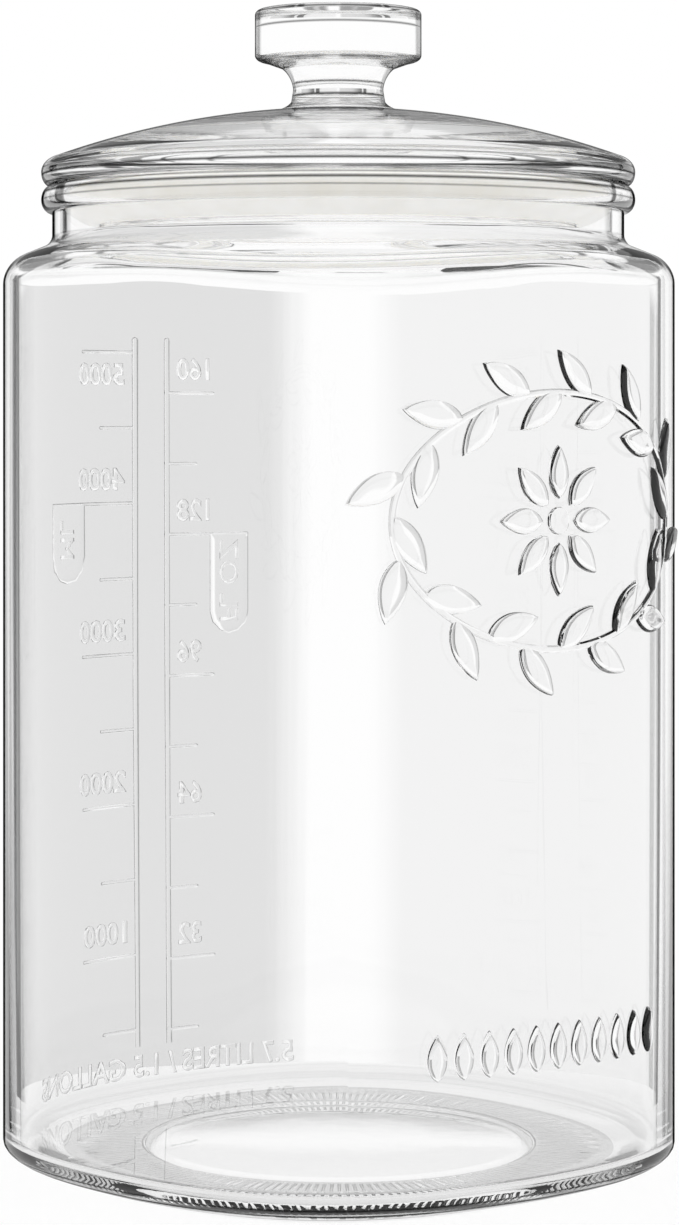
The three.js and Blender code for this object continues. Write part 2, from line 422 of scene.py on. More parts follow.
class MeshMaker:
    """Makes, reads, bakes and joins meshes."""

    @staticmethod
    def skin(rings: int, width: int, closed_rings: bool, closed_width: bool) -> list[list[int]]:
        """Quads between neighbouring rings of points.

        Args:
            rings: Number of rings.
            width: Points in each ring.
            closed_rings: True to join the last ring to the first.
            closed_width: True to join each ring's last point to its first.

        Returns:
            Numbers of each quad's points.
        """
        faces = []
        for i in range(rings if closed_rings else rings - 1):
            here, there = i * width, (i + 1) % rings * width
            for j in range(width if closed_width else width - 1):
                k = (j + 1) % width
                faces.append([here + j, there + j, there + k, here + k])
        return faces

    @staticmethod
    def closed(name: str, points: np.ndarray | list, faces: list[list[int]]) -> Mesh:
        """Makes a closed mesh.

        Args:
            name: Name of the mesh.
            points: Rows of X, Y and Z.
            faces: Numbers of each face's points.

        Returns:
            The mesh, with smooth faces that look outwards.
        """
        mesh = bpy.data.meshes.new(name)
        mesh.from_pydata(np.asarray(points).tolist(), [], faces)
        MeshMaker.face_out(mesh)
        return mesh

    @staticmethod
    def turned(name: str, rings: np.ndarray, ring_shaped: bool) -> Mesh:
        """Skins half sections set round the axis into one closed mesh.

        Args:
            name: Name of the mesh.
            rings: Radius and height by direction and point, in millimetres.
            ring_shaped: True for a ring's section, False for one that starts and ends on the axis.

        Returns:
            The mesh, in metres.
        """
        turns = len(rings)
        angle = np.arange(turns) * TURN / turns
        inner = rings if ring_shaped else rings[:, 1:-1]
        width = inner.shape[1]
        x = inner[..., 0] * np.sin(angle)[:, None]
        y = -inner[..., 0] * np.cos(angle)[:, None]
        points = np.stack([x, y, inner[..., 1]], axis=2).reshape(-1, 3)
        faces = MeshMaker.skin(turns, width, True, ring_shaped)
        if not ring_shaped:
            low, high = len(points), len(points) + 1
            points = np.vstack([points, [[0, 0, rings[0, 0, 1]], [0, 0, rings[0, -1, 1]]]])
            for i in range(turns):
                here, there = i * width, (i + 1) % turns * width
                faces += [[low, there, here], [high, here + width - 1, there + width - 1]]
        return MeshMaker.closed(name, points * MM, faces)

    @staticmethod
    def face_out(mesh: Mesh) -> None:
        """Turns a closed mesh's faces outwards and makes them smooth.

        Args:
            mesh: The mesh to settle.
        """
        work = bmesh.new()
        work.from_mesh(mesh)
        if work.calc_volume(signed=True) < 0:
            bmesh.ops.reverse_faces(work, faces=work.faces)
        work.to_mesh(mesh)
        work.free()
        MeshMaker.smooth(mesh)
        mesh.update()

    @staticmethod
    def smooth(mesh: Mesh) -> None:
        """Makes all faces of a mesh smooth."""
        mesh.polygons.foreach_set("use_smooth", np.ones(len(mesh.polygons), dtype=bool))

    @staticmethod
    def read(items: bpy.types.bpy_prop_collection, field: str, whole: bool = False) -> np.ndarray:
        """Reads one field of a mesh's vertices, corners or faces.

        Args:
            items: The collection.
            field: Name of the field.
            whole: True for a whole number, False for a vector.

        Returns:
            The numbers, or a row for each vector.
        """
        values = np.empty(len(items) * (1 if whole else 3), dtype=np.int32 if whole else np.float32)
        items.foreach_get(field, values)
        return values if whole else values.reshape(-1, 3).astype(float)

    @staticmethod
    def move(mesh: Mesh, points: np.ndarray) -> None:
        """Sets the places of a mesh's vertices."""
        mesh.vertices.foreach_set("co", points.astype(np.float32).ravel())

    @staticmethod
    def baked(obj: bpy.types.Object) -> Mesh:
        """The mesh that an object's modifiers or curves give."""
        depsgraph = bpy.context.evaluated_depsgraph_get()
        return bpy.data.meshes.new_from_object(obj.evaluated_get(depsgraph))

    @staticmethod
    def placed(name: str, data: bpy.types.ID) -> bpy.types.Object:
        """Puts data into the scene as an object at the origin.

        Args:
            name: Name of the object.
            data: Its mesh, curve or camera.

        Returns:
            The object.
        """
        obj = bpy.data.objects.new(name, data)
        bpy.context.scene.collection.objects.link(obj)
        return obj

    @staticmethod
    def union(base: bpy.types.Object, tool: Mesh) -> None:
        """Joins a closed mesh into an object, and leaves one closed body.

        Args:
            base: The object that grows.
            tool: The mesh that is added.
        """
        helper = MeshMaker.placed("union_tool", tool)
        modifier = base.modifiers.new("union", "BOOLEAN")
        modifier.operation = "UNION"
        modifier.solver = "MANIFOLD"
        modifier.object = helper
        before = len(base.data.polygons)
        base.data = MeshMaker.baked(base)
        base.modifiers.clear()
        bpy.data.objects.remove(helper)
        log.info("union with %s: %d faces before, %d after", tool.name, before, len(base.data.polygons))


class CopyTrees:
    """Geometry node trees that set copies of a piece round a circle, in a row or along an arc."""

    ARC_POINTS = 96

    def __init__(self) -> None:
        """Builds the trees once."""
        self.radial = self._radial()
        self.ladder = self._ladder()
        self.garland = self._garland()

    @staticmethod
    def _start(name: str, **kinds: str) -> Tree:
        """Makes a tree with the inputs Piece, Count and those given by name and kind."""
        inputs = {"Piece": "Object", "Count": "Int", **kinds}
        return new_tree(name, "GeometryNodeTree", inputs, {"Geometry": "Geometry"})

    @staticmethod
    def _end(tree: Tree, points: Socket, turn: Socket) -> None:
        """Sets the piece on points and ends the tree.

        Args:
            tree: The tree to end.
            points: Socket that gives the points.
            turn: Socket that gives each copy's rotation.
        """
        piece = tree.nodes["Group Input"].outputs["Piece"]
        shape = add_node(tree, "GeometryNodeObjectInfo", {"Object": piece}).outputs["Geometry"]
        copies = add_node(
            tree, "GeometryNodeInstanceOnPoints", {"Points": points, "Instance": shape, "Rotation": turn}
        )
        real = add_node(tree, "GeometryNodeRealizeInstances", {"Geometry": copies.outputs["Instances"]})
        feed(tree, tree.nodes["Group Output"], {"Geometry": real.outputs["Geometry"]})

    @staticmethod
    def _spin(tree: Tree, angle: Socket) -> Socket:
        """Turns an angle into a rotation about Z."""
        vector = add_node(tree, "ShaderNodeCombineXYZ", {"Z": angle}).outputs[0]
        return add_node(tree, "FunctionNodeEulerToRotation", {0: vector}).outputs[0]

    def _radial(self) -> Tree:
        """Builds the tree that sets copies round a circle.

        Returns:
            The tree, with the further input Radius.
        """
        tree = self._start("radial_copies", Radius="Float")
        inputs = tree.nodes["Group Input"].outputs
        circle = add_node(
            tree, "GeometryNodeMeshCircle", {"Vertices": inputs["Count"], "Radius": inputs["Radius"]}
        )
        step = maths(tree, "DIVIDE", TURN, inputs["Count"])
        angle = maths(tree, "MULTIPLY", add_node(tree, "GeometryNodeInputIndex").outputs[0], step)
        self._end(tree, circle.outputs["Mesh"], self._spin(tree, angle))
        return tree

    def _ladder(self) -> Tree:
        """Builds the tree that sets copies in a straight row.

        Returns:
            The tree, with the further inputs Start, Step and Turn.
        """
        tree = self._start("ladder_copies", Start="Vector", Step="Vector", Turn="Float")
        inputs = tree.nodes["Group Input"].outputs
        line = add_node(
            tree,
            "GeometryNodeMeshLine",
            {"Count": inputs["Count"], "Start Location": inputs["Start"], "Offset": inputs["Step"]},
        )
        self._end(tree, line.outputs["Mesh"], self._spin(tree, inputs["Turn"]))
        return tree

    def _garland(self) -> Tree:
        """Builds the tree that sets copies along an elliptical arc, tilted by turns to each side.

        Returns:
            The tree, with the further inputs Width, Height, From, Sweep and Tilt.
        """
        labels = ("Width", "Height", "From", "Sweep", "Tilt")
        tree = self._start("garland_copies", **dict.fromkeys(labels, "Float"))
        inputs = tree.nodes["Group Input"].outputs
        arc = add_node(
            tree,
            "GeometryNodeCurveArc",
            {
                "Resolution": self.ARC_POINTS,
                "Radius": 1.0,
                "Start Angle": inputs["From"],
                "Sweep Angle": inputs["Sweep"],
            },
        )
        size = {"X": inputs["Width"], "Y": inputs["Height"], "Z": 1.0}
        scale = add_node(tree, "ShaderNodeCombineXYZ", size).outputs[0]
        shape = {"Geometry": arc.outputs["Curve"], "Scale": scale}
        oval = add_node(tree, "GeometryNodeTransform", shape)
        even = add_node(
            tree,
            "GeometryNodeResampleCurve",
            {"Curve": oval.outputs["Geometry"], "Count": inputs["Count"]},
        )
        tangent = add_node(tree, "GeometryNodeInputTangent").outputs[0]
        along = add_node(tree, "FunctionNodeAlignRotationToVector", {"Vector": tangent}, axis="X")
        odd = maths(tree, "MODULO", add_node(tree, "GeometryNodeInputIndex").outputs[0], 2.0)
        side = maths(tree, "SUBTRACT", 1.0, maths(tree, "MULTIPLY", odd, 2.0))
        tilt = self._spin(tree, maths(tree, "MULTIPLY", side, inputs["Tilt"]))
        turn = add_node(
            tree,
            "FunctionNodeRotateRotation",
            {"Rotation": along.outputs[0], "Rotate By": tilt},
            rotation_space="LOCAL",
        )
        self._end(tree, even.outputs["Curve"], turn.outputs[0])
        return tree

    @staticmethod
    def copies(tree: Tree, piece: Mesh, **inputs: object) -> Mesh:
        """Runs a tree and bakes its copies.

        Args:
            tree: One of the trees of this class.
            piece: The mesh that is copied.
            **inputs: Values of the tree's other inputs by name.

        Returns:
            A mesh of all copies.
        """
        source = MeshMaker.placed("copied_piece", piece)
        holder = MeshMaker.placed("copies", bpy.data.meshes.new("copies"))
        modifier = holder.modifiers.new("copies", "NODES")
        modifier.node_group = tree
        values = {"Piece": source, **inputs}
        for item in tree.interface.items_tree:
            if item.in_out == "INPUT":
                modifier[item.identifier] = values[item.name]
        mesh = MeshMaker.baked(holder)
        bpy.data.objects.remove(holder)
        bpy.data.objects.remove(source)
        mesh.name = tree.name
        return mesh


class ReliefPieces:
    """Small closed solids that stand out of the glass, drawn flat in millimetres."""

    SUNK = -1.2
    BAR_SIDE = (1.0, 0.8, 0.6, 0.4, 0.2, 0.06)
    BAR_TOP = (0.7, 0.4, 0.1)
    BAR_END = 7
    LEAF_POINTS = 15
    LEAF_SKEW = 0.85
    LEAF_FULL = 0.8
    LEAF_ANGLES = (0.0, 15.0, 30.0, 45.0, 60.0, 75.0, 88.0)
    LEAF_BACK = (0.6, 0.8)
    LEAF_SHRINK = 0.6
    DISC_SIDES = 24
    DISC_CHAMFER = (0.94, 0.4)
    RING_SIDES = 128
    RING_PROFILE = ((1.0, 0.3), (0.6, 0.85), (0.0, 1.0), (-0.6, 0.85), (-1.0, 0.3))
    CAPITAL = 0.7
    BEVEL = 0.22
    TURNED_BEVEL = 0.12
    WELD = 1e-4

    @classmethod
    def bar(cls, length: float, width: float, relief: float, side: float, steps: int = 10) -> Mesh:
        """A bar with soft sides and a round end that starts at the origin and runs along X.

        Args:
            length: Length of the bar.
            width: Width at its foot.
            relief: Height of its crest.
            side: Width of each soft side, up to half the bar's width.
            steps: Parts along it, so that it can follow a curved wall.

        Returns:
            The mesh.
        """
        half = width / 2
        level_top = 1.0 - side / half
        places = [float(s) for s in np.linspace(0.0, length - half, steps + 1)]
        outline = [(s, -half) for s in places]
        for angle in np.linspace(-math.pi / 2, math.pi / 2, cls.BAR_END)[1:-1]:
            outline.append((length - half + half * math.cos(angle), half * math.sin(angle)))
        outline += [(s, half) for s in places[::-1]]
        middle = [min(max(s, 0.0), length - half) for s, _ in outline]
        levels = [(cls.SUNK, 1.0)]
        for share in cls.BAR_SIDE:
            place = level_top + (1.0 - level_top) * share
            levels.append((0.5 * relief * (1 + math.cos(math.pi * share)), place))
        if level_top > 0.0:
            levels += [(relief, share * level_top) for share in cls.BAR_TOP]
        loops = []
        for level, share in levels:
            loops.append([(m + share * (x - m), share * y, level) for (x, y), m in zip(outline, middle)])
        return cls._stack("bar", loops)

    @classmethod
    def leaf(cls, length: float, width: float, relief: float) -> Mesh:
        """A pointed leaf with a rounded back, that starts at the origin and runs along X.

        Args:
            length: Length of the leaf.
            width: Its greatest width.
            relief: Height of its back.

        Returns:
            The mesh.
        """
        places = np.linspace(0.0, 1.0, cls.LEAF_POINTS)
        half = 0.5 * width * np.sin(math.pi * places**cls.LEAF_SKEW) ** cls.LEAF_FULL
        upper = [(length * s, h) for s, h in zip(places[1:-1], half[1:-1])]
        outline = [(0.0, 0.0), *((x, -y) for x, y in upper), (length, 0.0), *upper[::-1]]
        loops = [[(x, y, cls.SUNK) for x, y in outline]]
        for angle in np.radians(cls.LEAF_ANGLES):
            share = math.cos(angle) ** cls.LEAF_BACK[0]
            level = relief * math.sin(angle) ** cls.LEAF_BACK[1]
            shrink = 1.0 - cls.LEAF_SHRINK * (1.0 - share)
            middle = length / 2
            loops.append([(middle + shrink * (x - middle), share * y, level) for x, y in outline])
        return cls._stack("leaf", loops)

    @classmethod
    def disc(cls, radius: float, relief: float) -> Mesh:
        """A flat disc with a small chamfer.

        Args:
            radius: Its radius.
            relief: Height of its face.

        Returns:
            The mesh.
        """
        angles = np.linspace(0.0, TURN, cls.DISC_SIDES + 1)[:-1]
        loops = []
        inset, edge = cls.DISC_CHAMFER
        for share, level in ((1.0, cls.SUNK), (1.0, edge * relief), (inset, relief)):
            r = share * radius
            loops.append([(r * math.cos(a), r * math.sin(a), level) for a in angles])
        return cls._stack("disc", loops)

    @classmethod
    def ring(cls, width: float, height: float, line: float, relief: float) -> Mesh:
        """An oval line.

        Args:
            width: Half its width.
            height: Half its height.
            line: Width of the line.
            relief: Height of its crest.

        Returns:
            The mesh.
        """
        half = line / 2
        profile = [(-half, cls.SUNK), (half, cls.SUNK)]
        profile += [(share * half, rise * relief) for share, rise in cls.RING_PROFILE]
        points = []
        for i in range(cls.RING_SIDES):
            a = TURN * i / cls.RING_SIDES
            for off, level in profile:
                points.append(((width + off) * math.cos(a), (height + off) * math.sin(a), level))
        faces = MeshMaker.skin(cls.RING_SIDES, len(profile), True, True)
        return MeshMaker.closed("ring", points, faces)

    @classmethod
    def text(cls, words: str, size: float, relief: float, turned: bool = False) -> Mesh:
        """Raised lettering centred on the origin.

        Args:
            words: The letters.
            size: Height of a capital, in millimetres.
            relief: Height of the letters' face.
            turned: True to run upwards.

        Returns:
            The mesh.
        """
        curve = bpy.data.curves.new("lettering", "FONT")
        curve.body = words
        curve.size = size / cls.CAPITAL
        curve.resolution_u = 3
        curve.bevel_depth = cls.TURNED_BEVEL if turned else cls.BEVEL
        curve.extrude = (relief - cls.SUNK) / 2 - curve.bevel_depth
        curve.bevel_resolution = 1
        obj = MeshMaker.placed("lettering", curve)
        mesh = MeshMaker.baked(obj)
        bpy.data.objects.remove(obj)
        work = bmesh.new()
        work.from_mesh(mesh)
        bmesh.ops.remove_doubles(work, verts=work.verts, dist=cls.WELD)
        work.to_mesh(mesh)
        work.free()
        points = MeshMaker.read(mesh.vertices, "co")
        points[:, 2] += (relief + cls.SUNK) / 2
        points[:, :2] -= (points[:, :2].min(axis=0) + points[:, :2].max(axis=0)) / 2
        if turned:
            points[:, :2] = np.stack([-points[:, 1], points[:, 0]], axis=1)
        MeshMaker.move(mesh, points)
        MeshMaker.face_out(mesh)
        return mesh

    @staticmethod
    def _stack(name: str, loops: list[list[tuple[float, float, float]]]) -> Mesh:
        """Skins loops from the lowest to the highest and caps both ends.

        Args:
            name: Name of the mesh.
            loops: Loops of the same length.

        Returns:
            The mesh.
        """
        count = len(loops[0])
        last = (len(loops) - 1) * count
        faces = [list(range(count))[::-1]]
        faces += [[a, d, c, b] for a, b, c, d in MeshMaker.skin(len(loops), count, False, True)]
        faces.append(list(range(last, last + count)))
        return MeshMaker.closed(name, [point for loop in loops for point in loop], faces)


@dataclass
class Relief:
    """Collects flat relief for one panel and lays it on the wall."""

    outline: Outline
    panel: Panel
    points: list[np.ndarray] = field(default_factory=list)
    faces: list[list[int]] = field(default_factory=list)
    count: int = 0

    def add(self, mesh: Mesh, along: float = 0.0, height: float = 0.0) -> None:
        """Adds a flat mesh at a place on the panel.

        Args:
            mesh: The mesh, in millimetres; it is removed afterwards.
            along: Place along the panel.
            height: Height above the resting face.
        """
        self.points.append(MeshMaker.read(mesh.vertices, "co") + np.array([along, height, 0.0]))
        self.faces += [[self.count + v for v in polygon.vertices] for polygon in mesh.polygons]
        self.count += len(mesh.vertices)
        bpy.data.meshes.remove(mesh)

    def wrapped(self, name: str) -> Mesh:
        """Lays everything on the panel, as one mesh in metres in the row's frame."""
        points = self.outline.wrap(np.vstack(self.points), self.panel)
        return MeshMaker.closed(name, points, self.faces)


@dataclass(frozen=True)
class ScaleSizes:
    """Sizes of the raised measuring scale, in millimetres, and shares of its relief and numerals."""

    zero: float = 2.0
    litre: float = 44.3
    rail_spacing: float = 11.4
    rail_bottom: float = 19.0
    rail_top: float = 228.1
    rail: float = 2.0
    rail_side: float = 0.45
    tick: float = 1.1
    side: float = 0.35
    relief: float = 0.22
    lettering: float = 0.45
    long_tick: float = 17.0
    short_tick: float = 11.0
    numeral: float = 6.2
    numeral_gap: float = 3.7
    tag_width: float = 13.3
    tag_overlap: float = 1.5
    tag_word: float = 6.4
    capacity_height: float = 13.2
    rail_relief: float = 1.1
    tag_relief: float = 0.8
    tag_tick_relief: float = 0.97
    tag_word_relief: float = 1.5
    numeral_above: float = 1.15
    numeral_below: float = 1.05


@dataclass(frozen=True)
class OrnamentSizes:
    """Sizes of the leaf ornament on the front panel, in millimetres and radians."""

    centre: float = 178.0
    half_width: float = 50.0
    half_height: float = 33.0
    stem: float = 2.0
    stem_relief: float = 1.0
    leaves: int = 24
    leaf: tuple[float, float, float] = (17.0, 7.4, 1.5)
    leaf_tilt: float = 0.62
    petals: int = 8
    petal: tuple[float, float, float] = (14.0, 6.8, 1.5)
    petal_start: float = 5.5
    eye: float = 3.6
    eye_relief: float = 0.9
    lozenges: int = 11
    lozenge: tuple[float, float, float] = (12.0, 5.6, 1.4)
    row_height: float = 43.0
    row_pitch: float = 7.6


@dataclass(frozen=True)
class PanelWork:
    """What the work on each panel is made from."""

    sizes: ScaleSizes | OrnamentSizes
    outline: Outline
    trees: CopyTrees

    PANEL = Panel.FRONT

    def blank(self) -> Relief:
        """An empty relief for the panel."""
        return Relief(self.outline, self.PANEL)


class MeasuringScale(PanelWork):
    """The raised scale on the back panel: two rails with ticks, numerals and unit tags."""

    PANEL = Panel.BACK
    CAPACITY = "5.7 LITRES / 1.5 GALLONS"
    NUMBERED = (2, 4, 6, 8, 10)
    TAGGED = 8

    def height(self, millilitres: float) -> float:
        """Height of a volume's mark above the resting face, in millimetres."""
        return self.sizes.zero + self.sizes.litre * millilitres / 1000.0

    def bars(self, bar: Mesh, start: Point, turn: float, count: int = 1, pitch: float = 0.0) -> Mesh:
        """A bar, or bars set above each other.

        Args:
            bar: The bar.
            start: Place along the panel and height of the first.
            turn: Turn of each bar, in radians.
            count: How many there are.
            pitch: Height from one to the next.

        Returns:
            The bars, in millimetres.
        """
        tree = self.trees.ladder
        row = {"Start": (*start, 0.0), "Step": (0.0, pitch, 0.0)}
        return self.trees.copies(tree, bar, Count=count, Turn=turn, **row)

    def tag_place(self, marks: UnitMarks) -> Point:
        """Where a unit's tag hangs: place along the panel and the height of its top."""
        s = self.sizes
        reach = marks.share * (s.long_tick + 0.5 * s.tag_width)
        along = marks.side * (s.rail_spacing / 2 + reach - s.tag_overlap)
        return along, self.height(self.TAGGED * marks.millilitres)

    def rails(self) -> Relief:
        """The two rails and the plates of the unit tags.

        Returns:
            The relief.
        """
        s, relief = self.sizes, self.blank()
        for side in (-1, 1):
            length = s.rail_top - s.rail_bottom
            rail = ReliefPieces.bar(length, s.rail, s.rail_relief * s.relief, s.rail_side, 2)
            relief.add(self.bars(rail, (side * s.rail_spacing / 2, s.rail_bottom), math.pi / 2))
        for unit in Unit:
            marks = unit.value
            width = marks.share * s.tag_width
            tag = ReliefPieces.bar(marks.tag_length, width, s.tag_relief * s.relief, s.side)
            relief.add(self.bars(tag, self.tag_place(marks), -math.pi / 2))
        return relief

    def ticks(self, unit: Unit) -> Relief:
        """The ticks of one unit.

        Args:
            unit: The unit.

        Returns:
            The relief.
        """
        s, marks, relief = self.sizes, unit.value, self.blank()
        pitch = self.height(marks.millilitres) - s.zero
        last = int((s.rail_top - s.rail - s.zero) / pitch)
        for first, length in ((1, s.short_tick), (2, s.long_tick)):
            tick = ReliefPieces.bar(marks.share * length, s.tick, s.relief, s.side)
            start = (marks.side * s.rail_spacing / 2, self.height(first * marks.millilitres))
            relief.add(self.bars(tick, start, marks.turn, (last - first) // 2 + 1, 2 * pitch))
        return relief

    def tag_ticks(self) -> Relief:
        """The long bars from which the tags hang.

        Returns:
            The relief.
        """
        s, relief = self.sizes, self.blank()
        for unit in Unit:
            marks = unit.value
            along, top = self.tag_place(marks)
            width = marks.share * s.tag_width
            tick = ReliefPieces.bar(width, s.tick, s.tag_tick_relief * s.relief, s.side)
            relief.add(self.bars(tick, (along - marks.side * width / 2, top), marks.turn))
        return relief

    def lettering(self) -> Relief:
        """The numerals, the units on the tags and the capacity line.

        Returns:
            The relief.
        """
        s, relief = self.sizes, self.blank()
        for unit in Unit:
            marks = unit.value
            for count in self.NUMBERED:
                mesh = ReliefPieces.text(str(count * marks.printed), s.numeral, s.lettering)
                width = max(v.co.x for v in mesh.vertices) * 2
                along = marks.side * (s.rail_spacing / 2 + s.numeral_gap + width / 2)
                below = unit is Unit.MILLILITRES and count == self.NUMBERED[-1]
                offset = -s.numeral_below * s.numeral if below else s.numeral_above * s.numeral
                relief.add(mesh, along, self.height(count * marks.millilitres) + offset)
        for unit in Unit:
            along, top = self.tag_place(unit.value)
            raised = s.tag_word_relief * s.lettering
            word = ReliefPieces.text(unit.value.word, s.tag_word, raised, turned=True)
            relief.add(word, along, top - unit.value.word_drop)
        relief.add(ReliefPieces.text(self.CAPACITY, s.numeral, s.lettering), 0.0, s.capacity_height)
        return relief


class LeafOrnament(PanelWork):
    """A generic wreath with a rosette, and a row of lozenges low on the panel."""

    def leaves(self) -> Relief:
        """The leaves of the wreath, the rosette's petals and the row below.

        Returns:
            The relief.
        """
        s, trees, relief = self.sizes, self.trees, self.blank()
        wreath = trees.copies(
            trees.garland,
            ReliefPieces.leaf(*s.leaf),
            Count=s.leaves,
            Width=s.half_width,
            Height=s.half_height,
            From=-math.pi / 2,
            Sweep=TURN * (s.leaves - 1) / s.leaves,
            Tilt=s.leaf_tilt,
        )
        relief.add(wreath, 0.0, s.centre)
        petal = ReliefPieces.leaf(*s.petal)
        petals = trees.copies(trees.radial, petal, Count=s.petals, Radius=s.petal_start)
        relief.add(petals, 0.0, s.centre)
        row = trees.copies(
            trees.ladder,
            ReliefPieces.leaf(*s.lozenge),
            Count=s.lozenges,
            Start=(-s.row_pitch * (s.lozenges - 1) / 2, s.row_height - s.lozenge[0] / 2, 0.0),
            Step=(s.row_pitch, 0.0, 0.0),
            Turn=math.pi / 2,
        )
        relief.add(row)
        return relief

    def lines(self) -> Relief:
        """The oval stem of the wreath and the eye of the rosette.

        Returns:
            The relief.
        """
        s, relief = self.sizes, self.blank()
        stem = ReliefPieces.ring(s.half_width, s.half_height, s.stem, s.stem_relief)
        for mesh in (stem, ReliefPieces.disc(s.eye, s.eye_relief)):
            relief.add(mesh, 0.0, s.centre)
        return relief


@dataclass(frozen=True)
class JarBody:
    """The moulded glass body with its relief and the knurls of the resting ring."""

    sizes: JarSizes
    outline: Outline
    trees: CopyTrees
    materials: tuple[Material, Material]

    TURNS = 256
    KNURLS = 190
    SHARP = 30.0
    ON_WALL = 0.06
    ALONG_WALL = 0.995
    BELOW_ROOT = 12.0
    HEEL_SLACK = 0.01
    FOOT_GLASS = 1.2

    def shoulder(self, wall: float, neck: float, root: float, low: float, high: float) -> dict[str, float]:
        """Places where the sloping shoulder leaves its rounded ends.

        Args:
            wall: Distance of the wall from the axis.
            neck: Distance of the neck from the axis.
            root: Height at which the slope meets the neck.
            low: Radius of the round at the wall.
            high: Radius of the round at the neck.

        Returns:
            The places by name, in millimetres.
        """
        slope = math.radians(self.sizes.shoulder_slope)
        half = math.tan((math.pi / 2 - slope) / 2)
        run = self.sizes.rounded_share * (wall - neck) / math.cos(slope)
        fit = min(1.0, run / ((low + high) * half))
        low, high = low * half * fit, high * half * fit
        eave = root - (wall - neck) * math.tan(slope)
        return {
            "eave": eave,
            "wall_top": eave - low,
            "low_r": wall - low * math.cos(slope),
            "low_z": eave + low * math.sin(slope),
            "high_r": neck + high * math.cos(slope),
            "high_z": root - high * math.sin(slope),
            "neck_bottom": root + high,
        }

    def section(self, outer: float, inner: float) -> np.ndarray:
        """Half section in one direction, from the push-up over the rim to the floor.

        Args:
            outer: Distance of the outside of the wall from the axis.
            inner: Distance of the inside of the wall from the axis.

        Returns:
            Radius and height of its points.
        """
        s = self.sizes
        slope = math.radians(s.shoulder_slope)
        root_in = s.shoulder_root + s.neck_wall * math.tan(slope) - s.wall / math.cos(slope)
        out = self.shoulder(outer, s.neck_radius, s.shoulder_root, s.shoulder_round, s.neck_round)
        into = self.shoulder(inner, s.bore, root_in, s.shoulder_round / 2, s.neck_round + s.wall)
        rim_low = s.height - s.rim_height
        path = HalfSection(0.0, s.push_up)
        path.line_to(0.5 * s.bearing, s.push_up)
        path.line_to(s.bearing - s.push_up_edge, s.push_up)
        path.round_to((s.bearing - s.push_up_corner, s.push_up), (s.bearing, s.knurl))
        path.line_to(outer - s.heel_reach, s.knurl)
        path.round_to((outer, s.knurl), (outer, s.heel_height))
        path.line_to(outer, out["wall_top"])
        path.round_to((outer, out["eave"]), (out["low_r"], out["low_z"]))
        path.line_to(out["high_r"], out["high_z"])
        path.round_to((s.neck_radius, s.shoulder_root), (s.neck_radius, out["neck_bottom"]))
        path.line_to(s.neck_radius, rim_low)
        path.round_to((s.rim_radius, rim_low), (s.rim_radius, s.height - s.rim_height / 2))
        path.round_to((s.rim_radius, s.height), (s.rim_radius - s.rim_height / 3, s.height))
        path.line_to(s.bore + s.rim_edge, s.height)
        path.round_to((s.bore, s.height), (s.bore, s.height - s.rim_edge))
        path.line_to(s.bore, into["neck_bottom"])
        path.round_to((s.bore, root_in), (into["high_r"], into["high_z"]))
        path.line_to(into["low_r"], into["low_z"])
        path.round_to((inner, into["eave"]), (inner, into["wall_top"]))
        path.line_to(inner, s.floor_height + s.floor_round_rise * s.floor_round)
        path.round_to((inner, s.floor_height), (inner - s.floor_round, s.floor_height))
        path.line_to(0.0, s.floor_height)
        return path.array()

    def knurls(self) -> Mesh:
        """The radial ribs of the resting ring.

        Returns:
            A mesh of all ribs, in metres.
        """
        s = self.sizes
        inner = s.bearing + s.knurl_inset
        length = s.half_flats - s.heel_reach - inner - s.knurl_gap
        rib = ReliefPieces.bar(length, s.knurl_width, s.knurl, s.knurl_width / 2, 1)
        points = MeshMaker.read(rib.vertices, "co") * np.array([1.0, -1.0, -1.0])
        points[:, 2] += s.knurl
        MeshMaker.move(rib, points * MM)
        return self.trees.copies(self.trees.radial, rib, Count=self.KNURLS, Radius=inner * MM)

    def true_normals(self, mesh: Mesh) -> None:
        """Gives the wall its exact normals, so that cut faces don't show in the glass.

        Args:
            mesh: The body's mesh after all unions.
        """
        s = self.sizes
        MeshMaker.smooth(mesh)
        mesh.set_sharp_from_angle(angle=math.radians(self.SHARP))
        normal = MeshMaker.read(mesh.corner_normals, "vector")
        index = MeshMaker.read(mesh.loops, "vertex_index", whole=True)
        at = MeshMaker.read(mesh.vertices, "co")[index] / MM
        corners = MeshMaker.read(mesh.polygons, "loop_total", whole=True)
        face = np.repeat(MeshMaker.read(mesh.polygons, "normal"), corners, axis=0)
        angle = np.arctan2(at[:, 0], at[:, 1])
        true = np.pad(self.outline.normal(angle), ((0, 0), (0, 1)))
        on_wall = np.abs(np.hypot(at[:, 0], at[:, 1]) - self.outline.radius(angle)) < self.ON_WALL
        on_wall &= at[:, 2] > s.heel_height - self.HEEL_SLACK
        on_wall &= at[:, 2] < s.shoulder_root - self.BELOW_ROOT
        on_wall &= np.sum(face * true, axis=1) > self.ALONG_WALL
        normal[on_wall] = true[on_wall]
        mesh.normals_split_custom_set(normal.tolist())
        log.info("true normals on %d of %d corners", int(on_wall.sum()), len(normal))

